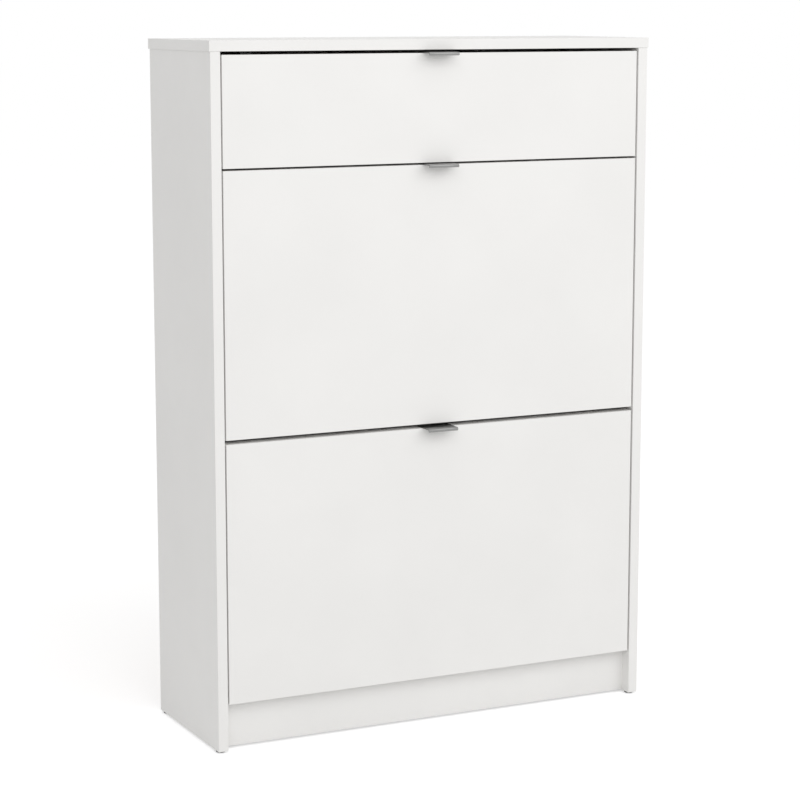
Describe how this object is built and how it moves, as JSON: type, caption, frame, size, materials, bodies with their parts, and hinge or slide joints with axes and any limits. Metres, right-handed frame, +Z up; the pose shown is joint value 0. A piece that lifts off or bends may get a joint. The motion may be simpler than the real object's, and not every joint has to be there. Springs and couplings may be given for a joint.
{
  "type": "shoe cabinet",
  "caption": "Tall shallow white cabinet with a shallow drawer on roller runners over tilting flaps, each carrying shoes in a front and a rear tier.",
  "frame": {"origin": "on the floor, midway across the width and midway between the handles' front edges and the back", "axes": "+Z up, fronts face -Y, +X to the right seen from the front"},
  "size_m": [0.703, 0.26, 1.012],
  "materials": {
    "white_foil_board": "satin white foil on particle board",
    "hardboard": "raw hardboard",
    "white_hardboard": "white lacquered hardboard",
    "aluminium": "satin anodised",
    "white_plastic": "moulded white plastic",
    "bumper_rubber": "soft clear-grey dot",
    "glide_plastic": "moulded dark plastic",
    "beech": "fluted beech dowel",
    "zinc": "die-cast zinc",
    "white_enamelled_steel": "white enamelled sheet steel",
    "zinc_plated_steel": "zinc-plated steel"
  },
  "bodies": {
    "cabinet": {"back_joint_strip": "white_plastic", "back_panel_nails": "zinc_plated_steel", "beech_dowels": "beech", "bottom_panel": "white_foil_board", "cabinet_runner_screws": "zinc_plated_steel", "cam_dowels": "zinc_plated_steel", "cam_locks": "zinc", "door_bumpers": "bumper_rubber", "drawer_shelf": "white_foil_board", "flap_shelf": "white_foil_board", "floor_glides": "glide_plastic", "left_cabinet_runner": "white_enamelled_steel", "left_side_panel": "white_foil_board", "lower_back_panel": "hardboard", "pivot_bushes": "white_plastic", "plinth_board": "white_foil_board", "right_cabinet_runner": "white_enamelled_steel", "right_side_panel": "white_foil_board", "stop_studs": "white_plastic", "top_panel": "white_foil_board", "upper_back_panel": "hardboard", "wall_bracket_screws": "zinc_plated_steel", "wall_brackets": "zinc_plated_steel"},
    "drawer": {"drawer_back": "white_foil_board", "drawer_bottom": "white_hardboard", "drawer_corner_screws": "zinc_plated_steel", "drawer_front": "white_foil_board", "drawer_front_fixings": "zinc_plated_steel", "drawer_handle": "aluminium", "drawer_handle_screws": "zinc_plated_steel", "drawer_left_side": "white_foil_board", "drawer_right_side": "white_foil_board", "drawer_runner_screws": "zinc_plated_steel", "left_drawer_runner": "white_enamelled_steel", "right_drawer_runner": "white_enamelled_steel"},
    "upper_flap": {"upper_door": "white_foil_board", "upper_door_handle": "aluminium", "upper_flap_front_floor": "white_hardboard", "upper_flap_left_end_plate": "white_plastic", "upper_flap_middle_board": "white_hardboard", "upper_flap_plate_screws": "zinc_plated_steel", "upper_flap_rear_board": "white_hardboard", "upper_flap_rear_floor": "white_hardboard", "upper_flap_right_end_plate": "white_plastic", "upper_handle_screws": "zinc_plated_steel"},
    "lower_flap": {"lower_door": "white_foil_board", "lower_door_handle": "aluminium", "lower_flap_front_floor": "white_hardboard", "lower_flap_left_end_plate": "white_plastic", "lower_flap_middle_board": "white_hardboard", "lower_flap_plate_screws": "zinc_plated_steel", "lower_flap_rear_board": "white_hardboard", "lower_flap_rear_floor": "white_hardboard", "lower_flap_right_end_plate": "white_plastic", "lower_handle_screws": "zinc_plated_steel"},
    "left_front_roller": {"left_front_roller": "white_plastic"},
    "right_front_roller": {"right_front_roller": "white_plastic"},
    "left_rear_roller": {"left_rear_roller": "white_plastic"},
    "right_rear_roller": {"right_rear_roller": "white_plastic"}
  },
  "joints": [
    {"name": "drawer_slide", "type": "slide", "parent": "cabinet", "child": "drawer", "axis": [0, -1, 0], "range_m": [0, 0.15]},
    {"name": "upper_flap_tilt", "type": "hinge", "parent": "cabinet", "child": "upper_flap", "pos_m": [0, -0.084, 0.56515], "axis": [1, 0, 0], "range_deg": [0, 45]},
    {"name": "lower_flap_tilt", "type": "hinge", "parent": "cabinet", "child": "lower_flap", "pos_m": [0, -0.084, 0.181], "axis": [1, 0, 0], "range_deg": [0, 45]},
    {"name": "left_front_roller_spin", "type": "hinge", "parent": "cabinet", "child": "left_front_roller", "pos_m": [-0.3288, -0.08, 0.8499], "axis": [1, 0, 0], "range_deg": [0, 960]},
    {"name": "left_rear_roller_spin", "type": "hinge", "parent": "drawer", "child": "left_rear_roller", "pos_m": [-0.3287, 0.094, 0.8484], "axis": [1, 0, 0], "range_deg": [0, 960]},
    {"name": "right_front_roller_spin", "type": "hinge", "parent": "cabinet", "child": "right_front_roller", "pos_m": [0.3288, -0.08, 0.8499], "axis": [1, 0, 0], "range_deg": [0, 960]},
    {"name": "right_rear_roller_spin", "type": "hinge", "parent": "drawer", "child": "right_rear_roller", "pos_m": [0.3287, 0.094, 0.8484], "axis": [1, 0, 0], "range_deg": [0, 960]}
  ],
  "couplings": [
    {"joint": "left_front_roller_spin", "follows": "drawer_slide", "rad_per_m": 111.11},
    {"joint": "left_rear_roller_spin", "follows": "drawer_slide", "rad_per_m": 111.11},
    {"joint": "right_front_roller_spin", "follows": "drawer_slide", "rad_per_m": 111.11},
    {"joint": "right_rear_roller_spin", "follows": "drawer_slide", "rad_per_m": 111.11}
  ]
}
